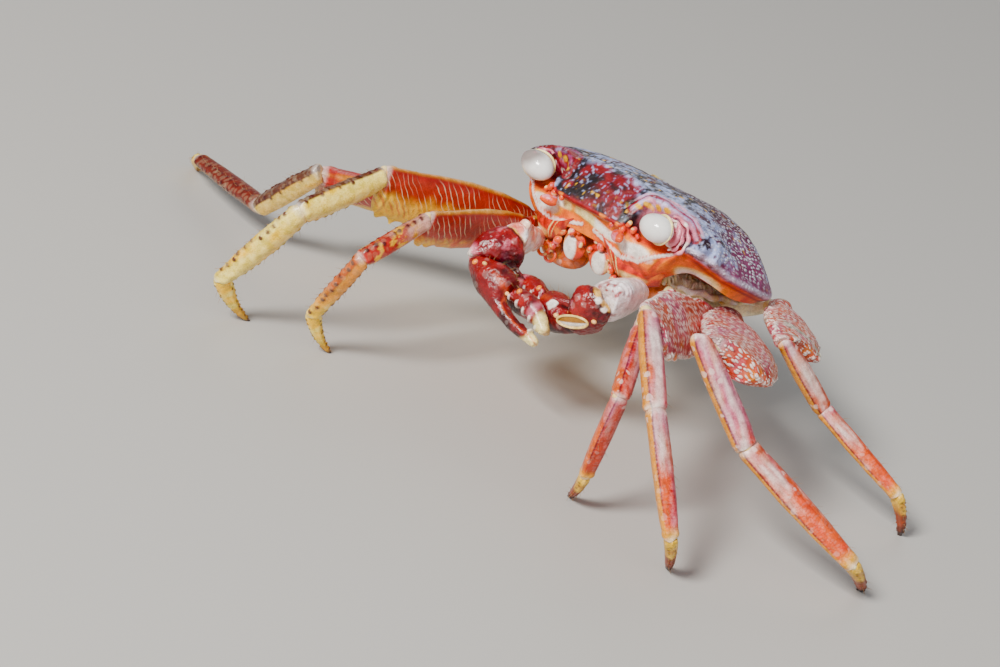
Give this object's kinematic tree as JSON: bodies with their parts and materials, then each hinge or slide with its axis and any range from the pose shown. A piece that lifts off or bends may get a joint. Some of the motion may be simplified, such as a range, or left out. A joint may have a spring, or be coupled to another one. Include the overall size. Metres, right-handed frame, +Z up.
{
  "type": "shore crab",
  "caption": "Life-size shore crab standing on its legs, front raised, claws folded in front of the mouth, left rear of the carapace lifted",
  "frame": {"origin": "on the floor under the middle of the whole crab, legs included", "axes": "+Z up; the crab faces -Y; its left side is +X"},
  "size_m": [0.212, 0.1834, 0.0543],
  "materials": {
    "carapace_shell": "dark maroon shell with pale striae, satin",
    "pale_shell": "cream to orange shell, satin",
    "claw_shell": "glossy deep crimson shell",
    "left_leg_shell": "pink and mauve shell with white striae, satin",
    "right_leg_shell": "yellow-orange shell with dark spots, satin",
    "cornea": "pearly white cornea, glossy"
  },
  "bodies": {
    "root": {"carapace": "carapace_shell", "thorax": "pale_shell", "abdomen": "pale_shell", "eye_L": "cornea", "eye_R": "cornea", "eyestalk_L": "pale_shell", "eyestalk_R": "pale_shell", "antenna_L": "pale_shell", "antenna_R": "pale_shell", "maxilliped_L": "pale_shell", "maxilliped_R": "pale_shell", "claw_arm_L": "claw_shell", "claw_arm_R": "claw_shell", "claw_wrist_L": "claw_shell", "claw_wrist_R": "claw_shell", "claw_palm_L": "claw_shell", "claw_palm_R": "claw_shell", "claw_finger_L": "claw_shell", "claw_finger_R": "claw_shell", "leg2_merus_L": "left_leg_shell", "leg2_merus_R": "right_leg_shell", "leg2_carpus_L": "left_leg_shell", "leg2_carpus_R": "right_leg_shell", "leg2_propodus_L": "left_leg_shell", "leg2_propodus_R": "right_leg_shell", "leg2_dactyl_L": "left_leg_shell", "leg2_dactyl_R": "right_leg_shell", "leg3_merus_L": "left_leg_shell", "leg3_merus_R": "right_leg_shell", "leg3_carpus_L": "left_leg_shell", "leg3_carpus_R": "right_leg_shell", "leg3_propodus_L": "left_leg_shell", "leg3_propodus_R": "right_leg_shell", "leg3_dactyl_L": "left_leg_shell", "leg3_dactyl_R": "right_leg_shell", "leg4_merus_L": "left_leg_shell", "leg4_merus_R": "right_leg_shell", "leg4_carpus_L": "left_leg_shell", "leg4_carpus_R": "right_leg_shell", "leg4_propodus_L": "left_leg_shell", "leg4_propodus_R": "right_leg_shell", "leg4_dactyl_L": "left_leg_shell", "leg4_dactyl_R": "right_leg_shell", "leg5_merus_L": "left_leg_shell", "leg5_merus_R": "right_leg_shell", "leg5_carpus_L": "left_leg_shell", "leg5_carpus_R": "right_leg_shell", "leg5_propodus_L": "left_leg_shell", "leg5_propodus_R": "right_leg_shell", "leg5_dactyl_L": "left_leg_shell", "leg5_dactyl_R": "right_leg_shell"}
  },
  "joints": []
}
